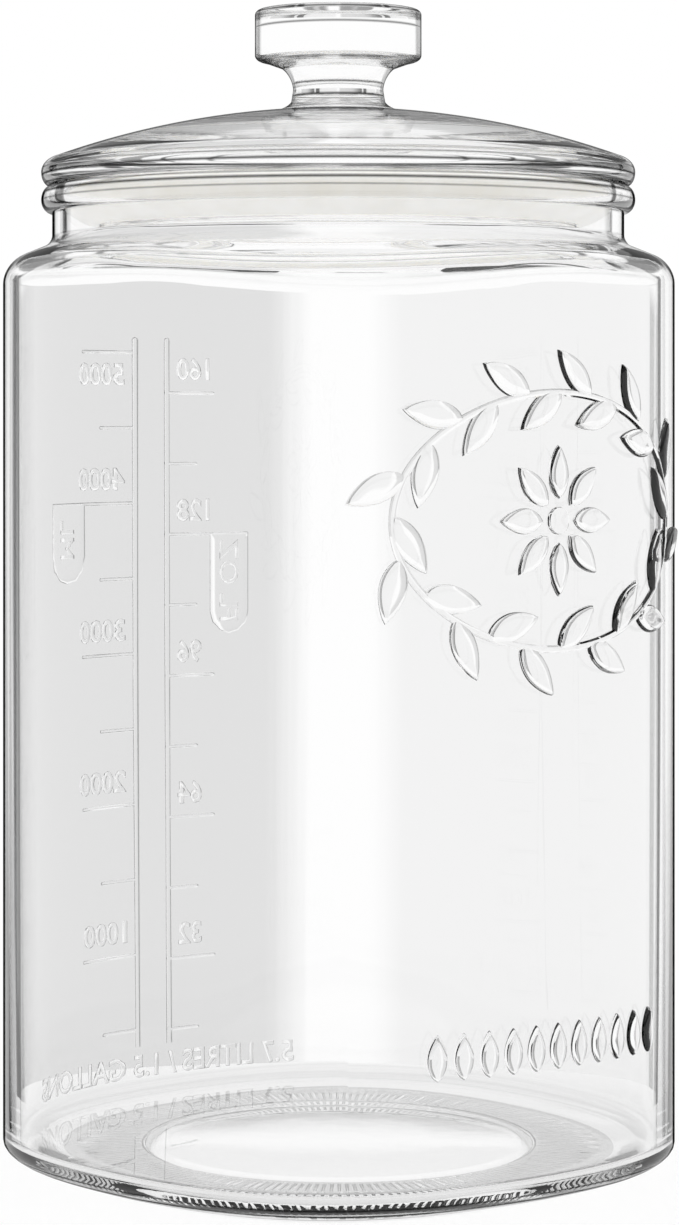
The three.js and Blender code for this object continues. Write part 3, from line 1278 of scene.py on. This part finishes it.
    def build(self) -> bpy.types.Object:
        """Makes the body.

        Returns:
            The object, riding on the jar.
        """
        angle = np.arange(self.TURNS) * TURN / self.TURNS
        walls = zip(self.outline.radius(angle), self.outline.radius(angle, self.sizes.wall))
        rings = np.stack([self.section(outer, inner) for outer, inner in walls])
        obj = MeshMaker.placed("jar_glass_body", MeshMaker.turned("jar_glass_body", rings, False))
        scale = MeasuringScale(ScaleSizes(), self.outline, self.trees)
        ornament = LeafOrnament(OrnamentSizes(), self.outline, self.trees)
        reliefs = [("rails", scale.rails())]
        reliefs += [("ticks", scale.ticks(unit)) for unit in Unit]
        reliefs += [("tag_ticks", scale.tag_ticks()), ("lettering", scale.lettering())]
        reliefs += [("leaves", ornament.leaves()), ("lines", ornament.lines())]
        parts = [relief.wrapped(name) for name, relief in reliefs]
        for part in (*parts, self.knurls()):
            MeshMaker.union(obj, part)
        mesh = obj.data
        mesh.name = "jar_glass_body"
        mesh.materials.clear()
        for material in self.materials:
            mesh.materials.append(material)
        # Faces of the resting ring take the dark-tinted glass, which paints shade on them.
        for polygon in mesh.polygons:
            polygon.material_index = int(polygon.center.z < self.FOOT_GLASS * self.sizes.knurl * MM)
        self.true_normals(mesh)
        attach(obj, "jar")
        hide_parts("jar_body")
        return obj


@dataclass(frozen=True)
class Lid:
    """The pressed glass lid: dome, bead edge, hollow skirt and solid knob."""

    sizes: LidSizes
    jar: JarSizes
    seal: SealSizes
    materials: tuple[Material, Material]

    TURNS = 192
    SHARP = 32.0
    HOLLOW_STEPS = 14
    DOME_STEPS = 24

    def section(self) -> np.ndarray:
        """Half section, from the hollow of the dome over the skirt and edge to the knob top.

        Returns:
            Radius and height of its points.
        """
        s, jar, lip = self.sizes, self.jar, self.sizes.skirt_lip
        top = jar.seat + s.dome_rise
        edge_z = jar.seat + s.edge
        edge_r = jar.rim_radius - s.edge_round * s.edge
        dome = (edge_r**2 + (top - edge_z) ** 2) / (2 * (top - edge_z))

        def dome_z(r: float, drop: float) -> float:
            """Height of the dome at a distance from the axis, so far below its outside."""
            return top - dome + math.sqrt((dome - drop) ** 2 - r * r)

        skirt = jar.bore - self.seal.space
        bottom = jar.seat - s.skirt_depth
        inner = skirt - s.skirt_wall
        hollow = inner - 2 * s.skirt_wall
        knob, stem = s.knob_diameter / 2, s.stem_diameter / 2
        knob_top = top + s.knob_height
        head = knob_top - s.knob_head
        gap = head - top
        foot = s.foot * stem
        top_round = s.top_round * s.knob_head
        path = HalfSection(0.0, dome_z(0.0, s.glass))
        for i in range(1, self.HOLLOW_STEPS + 1):
            r = hollow * i / self.HOLLOW_STEPS
            path.line_to(r, dome_z(r, s.glass))
        path.round_to((inner, dome_z(inner, s.glass)), (inner, jar.seat))
        path.line_to(inner, bottom + lip)
        path.round_to((inner, bottom), (inner + lip, bottom))
        path.line_to(skirt, bottom)
        path.round_to((skirt + lip, bottom), (skirt + lip, bottom + lip))
        path.line_to(skirt, bottom + 2 * lip)
        path.line_to(skirt, jar.seat)
        path.line_to(jar.rim_radius - jar.rim_height / 3, jar.seat)
        path.round_to((jar.rim_radius, jar.seat), (jar.rim_radius, jar.seat + s.edge / 2))
        path.round_to((jar.rim_radius, edge_z - s.edge_slope * s.edge), (edge_r, edge_z))
        for i in range(1, self.DOME_STEPS + 1):
            r = edge_r + (foot - edge_r) * i / self.DOME_STEPS
            path.line_to(r, dome_z(r, 0.0))
        path.round_to((s.foot_corner * stem, top), (s.foot_top[0] * stem, top + s.foot_top[1] * gap))
        path.line_to(stem, top + s.stem_top * gap)
        flare_end = (s.flare_end[0] * knob, head - s.flare_end[1] * gap)
        path.round_to((stem, head - s.flare_corner * gap), flare_end)
        path.line_to(s.head_edge * knob, head)
        path.round_to((knob, head), (knob, head + s.head_round * s.knob_head))
        path.line_to(knob, knob_top - top_round)
        path.round_to((knob, knob_top), (knob - top_round, knob_top))
        path.line_to(0.0, knob_top)
        return path.array()

    def build(self) -> bpy.types.Object:
        """Makes the lid.

        Returns:
            The object, riding on the lid's body.
        """
        rings = np.repeat(self.section()[None], self.TURNS, axis=0)
        mesh = MeshMaker.turned("lid_glass", rings, False)
        mesh.set_sharp_from_angle(angle=math.radians(self.SHARP))
        for material in self.materials:
            mesh.materials.append(material)
        knob_foot = (self.jar.seat + self.sizes.dome_rise) * MM
        # Faces of the knob take the glass with broader painted dark sides.
        for polygon in mesh.polygons:
            polygon.material_index = int(polygon.center.z > knob_foot)
        obj = MeshMaker.placed("lid_glass", mesh)
        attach(obj, "lid")
        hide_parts("lid")
        return obj


@dataclass(frozen=True)
class SealRing:
    """The silicone ring on the lid's skirt: a band with two upturned fins."""

    sizes: SealSizes
    jar: JarSizes
    lid: LidSizes
    silicone: Material

    TURNS = 160
    SHARP = 40.0
    CURVE_STEPS = 4

    def section(self) -> np.ndarray:
        """Closed half section of the ring.

        Returns:
            Radius and height of its points.
        """
        s, jar, fillet = self.sizes, self.jar, self.sizes.fillet
        inner = jar.bore - s.space + jar.fit
        band = inner + s.band
        tip = jar.bore - jar.fit
        middle = 0.5 * (band + tip)
        bottom = jar.seat - self.lid.skirt_depth + 2 * self.lid.skirt_lip + jar.fit
        top = jar.seat - jar.fit
        path = HalfSection(inner, bottom + 2 * fillet, self.CURVE_STEPS)
        path.round_to((inner, bottom), (inner + 2 * fillet, bottom))
        path.line_to(band - fillet, bottom)
        for low in (bottom, bottom + s.fin_pitch):
            raised, root = low + s.fin_tilt, low + s.fin_thickness
            high = raised + s.tip_height * s.fin_thickness
            reach = (tip - 2 * fillet, low + s.fin_reach * s.fin_tilt)
            path.bend_to((middle, low + s.fin_bow[0] * s.fin_tilt), reach)
            path.round_to((tip, raised), (tip, raised + 2 * fillet))
            path.round_to((tip, high), (tip - 2.5 * fillet, high - 0.5 * fillet))
            foot = (band + 1.5 * fillet, root + fillet)
            path.bend_to((middle, root + s.fin_bow[1] * s.fin_tilt), foot)
            path.line_to(band, root + 3 * fillet)
            if low == bottom:
                path.line_to(band, low + s.fin_pitch - fillet)
        path.line_to(band, top - 2.5 * fillet)
        path.round_to((band, top), (band - 2.5 * fillet, top))
        path.line_to(inner, top)
        return path.array()

    def build(self) -> bpy.types.Object:
        """Makes the ring.

        Returns:
            The object, riding on the seal's body.
        """
        rings = np.repeat(self.section()[None], self.TURNS, axis=0)
        mesh = MeshMaker.turned("seal_silicone", rings, True)
        mesh.set_sharp_from_angle(angle=math.radians(self.SHARP))
        mesh.materials.append(self.silicone)
        obj = MeshMaker.placed("seal_silicone", mesh)
        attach(obj, "seal")
        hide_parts("seal_ring")
        return obj


class SurfaceEffects:
    """Shader node groups that more than one finish uses."""

    DRAWN_UP = (1.0, 1.0, 0.02)
    DRAWN_ROUND = 0.015
    FILM_RANGE = (0.45, 0.75)
    RIPPLE_DETAIL = 2.0
    FILM_DETAIL = 4.0

    def __init__(self) -> None:
        """Makes the groups."""
        self.moulded = self._moulded()
        self.line = self._line()

    @staticmethod
    def _start(name: str, inputs: tuple[str, ...], outputs: tuple[str, ...]) -> Tree:
        """Makes a group with the given number sockets."""
        sockets = (dict.fromkeys(labels, "Float") for labels in (inputs, outputs))
        return new_tree(name, "ShaderNodeTree", *sockets)

    def _line(self) -> Tree:
        """A soft mask along one height.

        Returns:
            The group, with the output Line.
        """
        tree = self._start("height_line", ("Level", "Height", "Half Width"), ("Line",))
        inputs = tree.nodes["Group Input"].outputs
        away = maths(tree, "ABSOLUTE", maths(tree, "SUBTRACT", inputs["Level"], inputs["Height"]))
        near = maths(tree, "SUBTRACT", 1.0, maths(tree, "DIVIDE", away, inputs["Half Width"]))
        feed(tree, tree.nodes["Group Output"], {"Line": maths(tree, "MAXIMUM", near, 0.0)})
        return tree

    def _moulded(self) -> Tree:
        """Ripples drawn out along a wall or round the axis, and a film that dulls the surface in places.

        Returns:
            The group, with outputs Height, Film, Tone, Level (Z) and Away (distance from the axis).
        """
        labels = ("Ripple Scale", "Ringed", "Film Scale", "Clear", "Dulled")
        tree = self._start("moulded_surface", labels, ("Height", "Film", "Tone", "Level", "Away"))
        inputs = tree.nodes["Group Input"].outputs
        place = add_node(tree, "ShaderNodeTexCoord").outputs["Object"]
        parts = add_node(tree, "ShaderNodeSeparateXYZ", {0: place}).outputs
        stretch = {0: place, 1: self.DRAWN_UP}
        upright = add_node(tree, "ShaderNodeVectorMath", stretch, operation="MULTIPLY")
        squares = [maths(tree, "MULTIPLY", parts[axis], parts[axis]) for axis in "XY"]
        away = maths(tree, "SQRT", maths(tree, "ADD", *squares))
        across = maths(tree, "MULTIPLY", parts["X"], self.DRAWN_ROUND)
        rings = add_node(tree, "ShaderNodeCombineXYZ", {"X": away, "Y": across, "Z": parts["Z"]})
        drawn = add_node(
            tree,
            "ShaderNodeMix",
            {"Factor": inputs["Ringed"], 4: upright.outputs["Vector"], 5: rings.outputs["Vector"]},
            data_type="VECTOR",
        )
        ripples = add_node(
            tree,
            "ShaderNodeTexNoise",
            {"Vector": drawn.outputs[1], "Scale": inputs["Ripple Scale"], "Detail": self.RIPPLE_DETAIL},
        )
        film = add_node(
            tree,
            "ShaderNodeTexNoise",
            {"Vector": place, "Scale": inputs["Film Scale"], "Detail": self.FILM_DETAIL},
        )
        spread = add_node(
            tree,
            "ShaderNodeMapRange",
            {
                "Value": film.outputs["Fac"],
                "From Min": self.FILM_RANGE[0],
                "From Max": self.FILM_RANGE[1],
                "To Min": inputs["Clear"],
                "To Max": inputs["Dulled"],
            },
        )
        results = {
            "Height": ripples.outputs["Fac"],
            "Film": spread.outputs["Result"],
            "Tone": film.outputs["Fac"],
            "Level": parts["Z"],
            "Away": away,
        }
        feed(tree, tree.nodes["Group Output"], results)
        return tree

    def dress(
        self, tree: Tree, shader: Node, bump: Inputs, inputs: Inputs
    ) -> bpy.types.bpy_prop_collection:
        """Puts the moulded surface on a shader: its ripples as bumps, its film as roughness.

        Args:
            tree: The material's tree.
            shader: The material's Principled shader.
            bump: Strength and Distance of the bumps.
            inputs: Inputs of the moulded surface.

        Returns:
            The outputs of the moulded surface.
        """
        surface = add_node(tree, "ShaderNodeGroup", node_tree=self.moulded)
        feed(tree, surface, inputs)
        bumps = add_node(tree, "ShaderNodeBump", {"Height": surface.outputs["Height"], **bump})
        feed(tree, shader, {"Normal": bumps.outputs["Normal"], "Roughness": surface.outputs["Film"]})
        return surface.outputs


@dataclass(frozen=True)
class PaintedGlassLine:
    """A painted dark line, in place of a refraction line of thick glass, that runs round the glass beyond
    a distance from the axis, in millimetres.
    """

    height: float
    strength: float
    half_width: float
    beyond: float = 0.0


@dataclass(frozen=True)
class ClearGlass:
    """Clear moulded glass with painted shade: a dark outline where it is seen edge-on, and painted dark
    lines round it.
    """

    name: str
    through: Stops = ((0.0, 0.995), (0.80, 0.985), (0.90, 0.90))
    # Share of the black coat by facing: a painted dark outline where the glass is seen edge-on.
    edge: Stops = ((0.85, 0.0), (0.88, 1.0))
    upright_edges: bool = True
    # Painted dark lines at given heights.
    lines: tuple[PaintedGlassLine, ...] = ()
    ringed: float = 0.0
    ripple_scale: float = 150.0
    ripple_depth: float = 0.00001
    film_scale: float = 60.0
    dulled: float = 0.012
    ior: float = 1.52

    def build(self, effects: SurfaceEffects) -> Material:
        """Makes the material.

        Args:
            effects: The shared node groups.

        Returns:
            The material.
        """
        body = {"Transmission Weight": 1.0, "IOR": self.ior, "Metallic": 0.0}
        # A black coat that only darkens; its weight paints the dark outline and the dark lines.
        coat = {"Coat IOR": 1.0, "Coat Tint": (0.0, 0.0, 0.0, 1.0)}
        material, shader = new_material(self.name, body | coat)
        tree = material.node_tree
        ripples = {"Ripple Scale": self.ripple_scale, "Ringed": self.ringed}
        film = {"Film Scale": self.film_scale, "Clear": 0.0, "Dulled": self.dulled}
        bump = {"Strength": 1.0, "Distance": self.ripple_depth}
        surface = effects.dress(tree, shader, bump, ripples | film)
        facing = add_node(tree, "ShaderNodeLayerWeight", {"Blend": 0.5}).outputs["Facing"]
        tint = ramp(tree, facing, self.through)
        edge = ramp(tree, facing, self.edge)
        geometry = add_node(tree, "ShaderNodeNewGeometry").outputs
        outside = maths(tree, "SUBTRACT", 1.0, geometry["Backfacing"])
        # The painted dark outline is kept to upright faces.
        if self.upright_edges:
            up = add_node(tree, "ShaderNodeSeparateXYZ", {0: geometry["Normal"]}).outputs["Z"]
            level = maths(tree, "SUBTRACT", 1.0, maths(tree, "MULTIPLY", up, up))
            edge = maths(tree, "MULTIPLY", edge, level)
        # Each painted dark line raises the black coat's weight at its height.
        for line in self.lines:
            beyond = maths(tree, "GREATER_THAN", surface["Away"], line.beyond * MM)
            place = {"Height": line.height * MM, "Half Width": line.half_width * MM}
            ring = add_node(
                tree, "ShaderNodeGroup", {"Level": surface["Level"], **place}, node_tree=effects.line
            )
            strength = maths(tree, "MULTIPLY", beyond, line.strength)
            edge = maths(tree, "MAXIMUM", edge, maths(tree, "MULTIPLY", ring.outputs["Line"], strength))
        # The painted dark outline and lines go on the outside of the glass only.
        feed(tree, shader, {"Coat Weight": maths(tree, "MULTIPLY", edge, outside), "Base Color": tint})
        path = add_node(tree, "ShaderNodeLightPath").outputs
        clear = add_node(tree, "ShaderNodeBsdfTransparent", {"Color": tint}).outputs["BSDF"]
        last = shader.outputs["BSDF"]
        for ray in ("Is Shadow Ray", "Is Diffuse Ray"):
            inputs = {"Fac": path[ray], 1: last, 2: clear}
            last = add_node(tree, "ShaderNodeMixShader", inputs).outputs["Shader"]
        feed(tree, tree.nodes["Material Output"], {"Surface": last})
        return material


@dataclass(frozen=True)
class Silicone:
    """Translucent warm white silicone."""

    name: str = "translucent_silicone"
    tones: Stops = ((0.35, (0.88, 0.865, 0.815)), (0.65, (0.94, 0.93, 0.895)))
    depth: tuple[float, float, float] = (0.004, 0.0036, 0.003)
    translucency: float = 0.35
    ripple_scale: float = 220.0
    ripple_strength: float = 0.3
    ripple_depth: float = 0.0002
    film_scale: float = 130.0
    roughness: Point = (0.38, 0.6)

    def build(self, effects: SurfaceEffects) -> Material:
        """Makes the material.

        Args:
            effects: The shared node groups.

        Returns:
            The material.
        """
        inputs = {"Subsurface Weight": self.translucency, "Subsurface Radius": self.depth}
        material, shader = new_material(self.name, {**inputs, "Subsurface Scale": 1.0})
        tree = material.node_tree
        clear, dulled = self.roughness
        scales = {"Ripple Scale": self.ripple_scale, "Film Scale": self.film_scale}
        bump = {"Strength": self.ripple_strength, "Distance": self.ripple_depth}
        surface = effects.dress(tree, shader, bump, {**scales, "Clear": clear, "Dulled": dulled})
        feed(tree, shader, {"Base Color": ramp(tree, surface["Tone"], self.tones)})
        return material


@dataclass(frozen=True)
class StudioSizes:
    """Camera and set, in millimetres, degrees and pixels of the photograph."""

    azimuth: float = -41.0
    distance: float = 1070.0
    eye_height: float = 200.3
    scale: float = 3.6525
    sensor: float = 36.0
    frame_width: float = 679.0
    frame_height: float = 1225.0
    axis_x: float = 338.2
    horizon_y: float = 434.0
    floor_radius: float = 320.0
    floor_drop: float = 0.4
    shadow_radius: float = 150.0
    seen_radius: float = 135.0


@dataclass(frozen=True)
class Studio:
    """Plain white studio: floor, light from all round with grey cards, and the camera.

    The cards are pairs of an angle in degrees and a tone: CARDS are seen through the glass and come
    back every REPEAT degrees, RIM_CARDS and BANDS are mirrored in it. UNDERSIDE_PAINTED_SHADOW is how
    brightly the floor glows to glass, by the distance from the axis in millimetres, with a painted shadow
    ring beneath the foot.
    """

    sizes: StudioSizes

    REPEAT = 45.0
    CARDS = (
        *((-22.5, 0.25), (-20.5, 0.20), (-17.5, 0.38), (-14.0, 0.60), (-11.5, 0.68)),
        *((-1.7, 0.72), (-0.7, 1.0), (0.8, 1.0), (1.6, 0.89), (14.0, 0.87)),
        *((16.5, 0.80), (17.2, 0.18), (20.5, 0.12), (21.0, 0.80), (22.5, 0.80)),
    )
    RIM_CARDS = (
        *((-41.5, 1.0), (-40.5, 0.04), (-31.5, 0.04), (-30.0, 1.0), (-18.0, 1.0), (-17.0, 0.30)),
        *((-9.5, 0.30), (-8.0, 0.55), (-6.5, 0.30), (-1.5, 0.30), (0.0, 1.0), (5.0, 1.0)),
        *((6.0, 0.30), (9.0, 0.30), (10.5, 0.8), (12.0, 0.30), (16.5, 0.30), (18.0, 1.0)),
        *((36.5, 1.0), (37.5, 0.04), (41.5, 0.04), (42.5, 1.0)),
    )
    BANDS = (
        *((12.5, 1.0), (13.5, 0.30), (27.5, 0.30), (28.5, 1.0), (36.5, 1.0), (37.5, 0.15)),
        *((38.5, 0.15), (39.5, 1.0), (53.0, 1.0), (54.0, 0.35), (55.0, 0.35), (56.0, 1.0)),
    )
    # Floor glow seen through glass: a painted shadow ring beneath the jar's foot.
    UNDERSIDE_PAINTED_SHADOW = ((50.0, 0.96), (58.0, 0.82), (100.0, 0.80), (134.0, 0.92))
    CARD_TOP = (2.2, 2.7)
    RIM_TOP = (6.0, 9.0)
    FLOOR_TONES = ((0.0, 0.955), (1.0, 0.985))
    FLOOR_ROUGHNESS = 0.9
    FLOOR_GRAIN = 30.0
    FLOOR_SIDES = 96
    SHADOW_KEPT = 0.75
    FLOOR_GLOW = 0.95
    ANY_DEPTH = 0.5
    WALL_DEPTH = 2.5
    CLIP = (0.05, 50.0)
    GLASS_BOUNCES = 24
    GLOSSY_BOUNCES = 8

    @staticmethod
    def rays(tree: Tree) -> tuple[bpy.types.bpy_prop_collection, Socket]:
        """The kinds of rays, and a mask of those that come by way of glass."""
        path = add_node(tree, "ShaderNodeLightPath").outputs
        return path, maths(tree, "MAXIMUM", path["Is Glossy Ray"], path["Is Transmission Ray"])

    def camera(self) -> None:
        """Sets the camera level with the upper body, with its frame shifted down."""
        s = self.sizes
        data = bpy.data.cameras.new("camera")
        data.sensor_width = s.sensor
        data.lens = s.sensor * s.scale * s.distance / s.frame_height
        data.shift_x = (s.frame_width / 2 - s.axis_x) / s.frame_height
        data.shift_y = (s.horizon_y - s.frame_height / 2) / s.frame_height
        data.clip_start, data.clip_end = self.CLIP
        camera = MeshMaker.placed("camera", data)
        turn = math.radians(s.azimuth)
        away = s.distance * MM
        camera.location = (math.sin(turn) * away, -math.cos(turn) * away, s.eye_height * MM)
        camera.rotation_euler = (math.pi / 2, 0.0, turn)
        bpy.context.scene.camera = camera

    def floor(self) -> None:
        """Lays the pale floor, which keeps a faint shadow and fades into the background, and glows to
        glass with a painted shadow ring.
        """
        s = self.sizes
        radius, seen_radius = s.floor_radius * MM, s.seen_radius * MM
        angles = np.linspace(0.0, TURN, self.FLOOR_SIDES + 1)[:-1]
        points = [(radius * math.cos(a), radius * math.sin(a), -s.floor_drop * MM) for a in angles]
        mesh = bpy.data.meshes.new("floor")
        mesh.from_pydata(points, [], [list(range(self.FLOOR_SIDES))])
        matt = {"Roughness": self.FLOOR_ROUGHNESS, "Specular IOR Level": 0.0}
        material, shader = new_material("pale_floor", matt)
        tree = material.node_tree
        place = add_node(tree, "ShaderNodeTexCoord").outputs["Object"]
        grain = add_node(tree, "ShaderNodeTexNoise", {"Vector": place, "Scale": self.FLOOR_GRAIN})
        feed(tree, shader, {"Base Color": ramp(tree, grain.outputs["Fac"], self.FLOOR_TONES)})
        far = add_node(tree, "ShaderNodeVectorMath", {0: place}, operation="LENGTH").outputs["Value"]
        ends = {"From Min": s.shadow_radius * MM, "From Max": radius}
        shadow = {"Value": far, **ends, "To Min": self.SHADOW_KEPT, "To Max": 1.0}
        fade = add_node(tree, "ShaderNodeMapRange", shadow, interpolation_type="SMOOTHSTEP")
        path, through = self.rays(tree)
        seen = maths(tree, "MULTIPLY", path["Is Camera Ray"], fade.outputs["Result"])
        glowing = maths(tree, "MAXIMUM", seen, maths(tree, "MULTIPLY", through, self.FLOOR_GLOW))
        # Seen through glass, the floor glows with a painted shadow ring beneath the jar's foot.
        stops = tuple((r / s.seen_radius, tone) for r, tone in self.UNDERSIDE_PAINTED_SHADOW)
        painted_shadow_glow = ramp(tree, maths(tree, "DIVIDE", far, seen_radius), stops)
        glow = add_node(tree, "ShaderNodeEmission", {"Strength": mixed(tree, through, 1.0, painted_shadow_glow)})
        outside = maths(tree, "MULTIPLY", through, maths(tree, "GREATER_THAN", far, seen_radius))
        clear = add_node(tree, "ShaderNodeBsdfTransparent")
        last = shader.outputs["BSDF"]
        for share, other in ((glowing, glow), (outside, clear)):
            inputs = {"Fac": share, 1: last, 2: other.outputs[0]}
            last = add_node(tree, "ShaderNodeMixShader", inputs).outputs["Shader"]
        feed(tree, tree.nodes["Material Output"], {"Surface": last})
        mesh.materials.append(material)
        MeshMaker.placed("floor", mesh)

    def world(self) -> None:
        """Lights the set evenly, and lets clear glass see grey cards beside and above the white."""
        world = bpy.data.worlds.new("studio")
        bpy.context.scene.world = world
        world.use_nodes = True
        tree = world.node_tree
        tree.nodes.clear()
        direction = add_node(tree, "ShaderNodeTexCoord").outputs["Generated"]
        split = add_node(tree, "ShaderNodeSeparateXYZ", {0: direction}).outputs
        azimuth = maths(tree, "ARCTAN2", split["X"], split["Y"])
        rise = maths(tree, "ARCSINE", split["Z"])
        tones = []
        for stops, repeat, ends in (
            (self.CARDS, self.REPEAT, self.CARD_TOP),
            (self.RIM_CARDS, 360.0, self.RIM_TOP),
        ):
            turned = maths(tree, "ADD", azimuth, math.radians(self.sizes.azimuth + repeat / 2))
            place = maths(tree, "FRACT", maths(tree, "DIVIDE", turned, math.radians(repeat)))
            cards = ramp(tree, place, tuple((angle / repeat + 0.5, tone) for angle, tone in stops))
            low, high = np.radians(ends).tolist()
            above = maths(tree, "DIVIDE", maths(tree, "SUBTRACT", rise, low), high - low)
            tones.append(maths(tree, "MAXIMUM", cards, maths(tree, "MINIMUM", above, 1.0)))
        cards, rim_cards = tones
        level = maths(tree, "MULTIPLY_ADD", rise, 1 / math.pi, 0.5)
        bands = ramp(tree, level, tuple((angle / 180.0 + 0.5, tone) for angle, tone in self.BANDS))
        path, through = self.rays(tree)
        clear = maths(tree, "LESS_THAN", path["Diffuse Depth"], self.ANY_DEPTH)
        mirrored = maths(tree, "GREATER_THAN", path["Glossy Depth"], self.ANY_DEPTH)
        in_wall = maths(tree, "LESS_THAN", path["Transmission Depth"], self.WALL_DEPTH)
        rim_cards = maths(tree, "MAXIMUM", rim_cards, maths(tree, "SUBTRACT", 1.0, in_wall))
        tone = mixed(tree, mirrored, cards, maths(tree, "MULTIPLY", rim_cards, bands))
        strength = mixed(tree, maths(tree, "MULTIPLY", through, clear), 1.0, tone)
        white = (1.0, 1.0, 1.0, 1.0)
        light = add_node(tree, "ShaderNodeBackground", {"Color": white, "Strength": strength})
        add_node(tree, "ShaderNodeOutputWorld", {"Surface": light.outputs["Background"]})

    def build(self) -> None:
        """Makes the set."""
        scene = bpy.context.scene
        scene.view_settings.view_transform = "Standard"
        scene.cycles.max_bounces = self.GLASS_BOUNCES
        scene.cycles.transmission_bounces = self.GLASS_BOUNCES
        scene.cycles.glossy_bounces = self.GLOSSY_BOUNCES
        self.camera()
        self.floor()
        self.world()


def main() -> None:
    """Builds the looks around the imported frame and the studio."""
    logging.basicConfig(level=logging.INFO, format="%(name)s: %(message)s")
    effects = SurfaceEffects()
    jar_glass = ClearGlass(
        "clear_jar_glass",
        # Painted dark lines round the foot and the rim bead, in place of refraction lines.
        lines=(
            PaintedGlassLine(1.1, 0.9, 0.9, 68.0),
            PaintedGlassLine(3.4, 1.0, 0.7, 68.0),
            PaintedGlassLine(5.3, 0.9, 0.5, 68.0),
            PaintedGlassLine(263.8, 0.6, 0.4, 78.5),
            PaintedGlassLine(265.8, 0.95, 0.65, 78.5),
            PaintedGlassLine(267.1, 0.6, 0.35, 78.5),
        ),
    ).build(effects)
    # Glass of the resting ring, tinted dark all over: painted shade in place of the grey band that the
    # thick ring shows.
    foot_glass = ClearGlass("knurled_foot_glass", through=((0.0, 0.33), (1.0, 0.33))).build(effects)
    lid_glass = ClearGlass(
        "clear_lid_glass",
        # Painted dark outline where the lid is seen edge-on.
        edge=((0.91, 0.0), (0.945, 0.8)),
        upright_edges=False,
        # Painted dark lines round the lid's bead, in place of refraction lines.
        lines=(
            PaintedGlassLine(268.5, 0.6, 0.35, 74.0),
            PaintedGlassLine(270.6, 0.95, 0.6, 74.0),
            PaintedGlassLine(272.4, 0.6, 0.35, 74.0),
            PaintedGlassLine(273.4, 0.4, 0.3, 74.0),
            PaintedGlassLine(275.6, 0.6, 0.4, 74.0),
        ),
        ringed=1.0,
        ripple_scale=420.0,
        ripple_depth=0.00005,
    ).build(effects)
    knob_glass = ClearGlass(
        "clear_knob_glass",
        # Broad painted dark sides where the knob turns edge-on.
        edge=((0.60, 0.0), (0.68, 0.42), (0.80, 0.45), (0.88, 0.9)),
        upright_edges=False,
        # Painted dark lines round the knob, in place of refraction lines.
        lines=(
            PaintedGlassLine(292.6, 0.95, 0.6),
            PaintedGlassLine(296.0, 0.8, 0.5),
            PaintedGlassLine(311.3, 0.8, 0.5),
            PaintedGlassLine(315.4, 0.9, 0.5),
        ),
        ringed=1.0,
    ).build(effects)
    silicone = Silicone().build(effects)
    trees = CopyTrees()
    jar, lid, seal = JarSizes(), LidSizes(), SealSizes()
    JarBody(jar, Outline(jar), trees, (jar_glass, foot_glass)).build()
    Lid(lid, jar, seal, (lid_glass, knob_glass)).build()
    SealRing(seal, jar, lid, silicone).build()
    Studio(StudioSizes()).build()


if __name__ == "__main__":
    main()
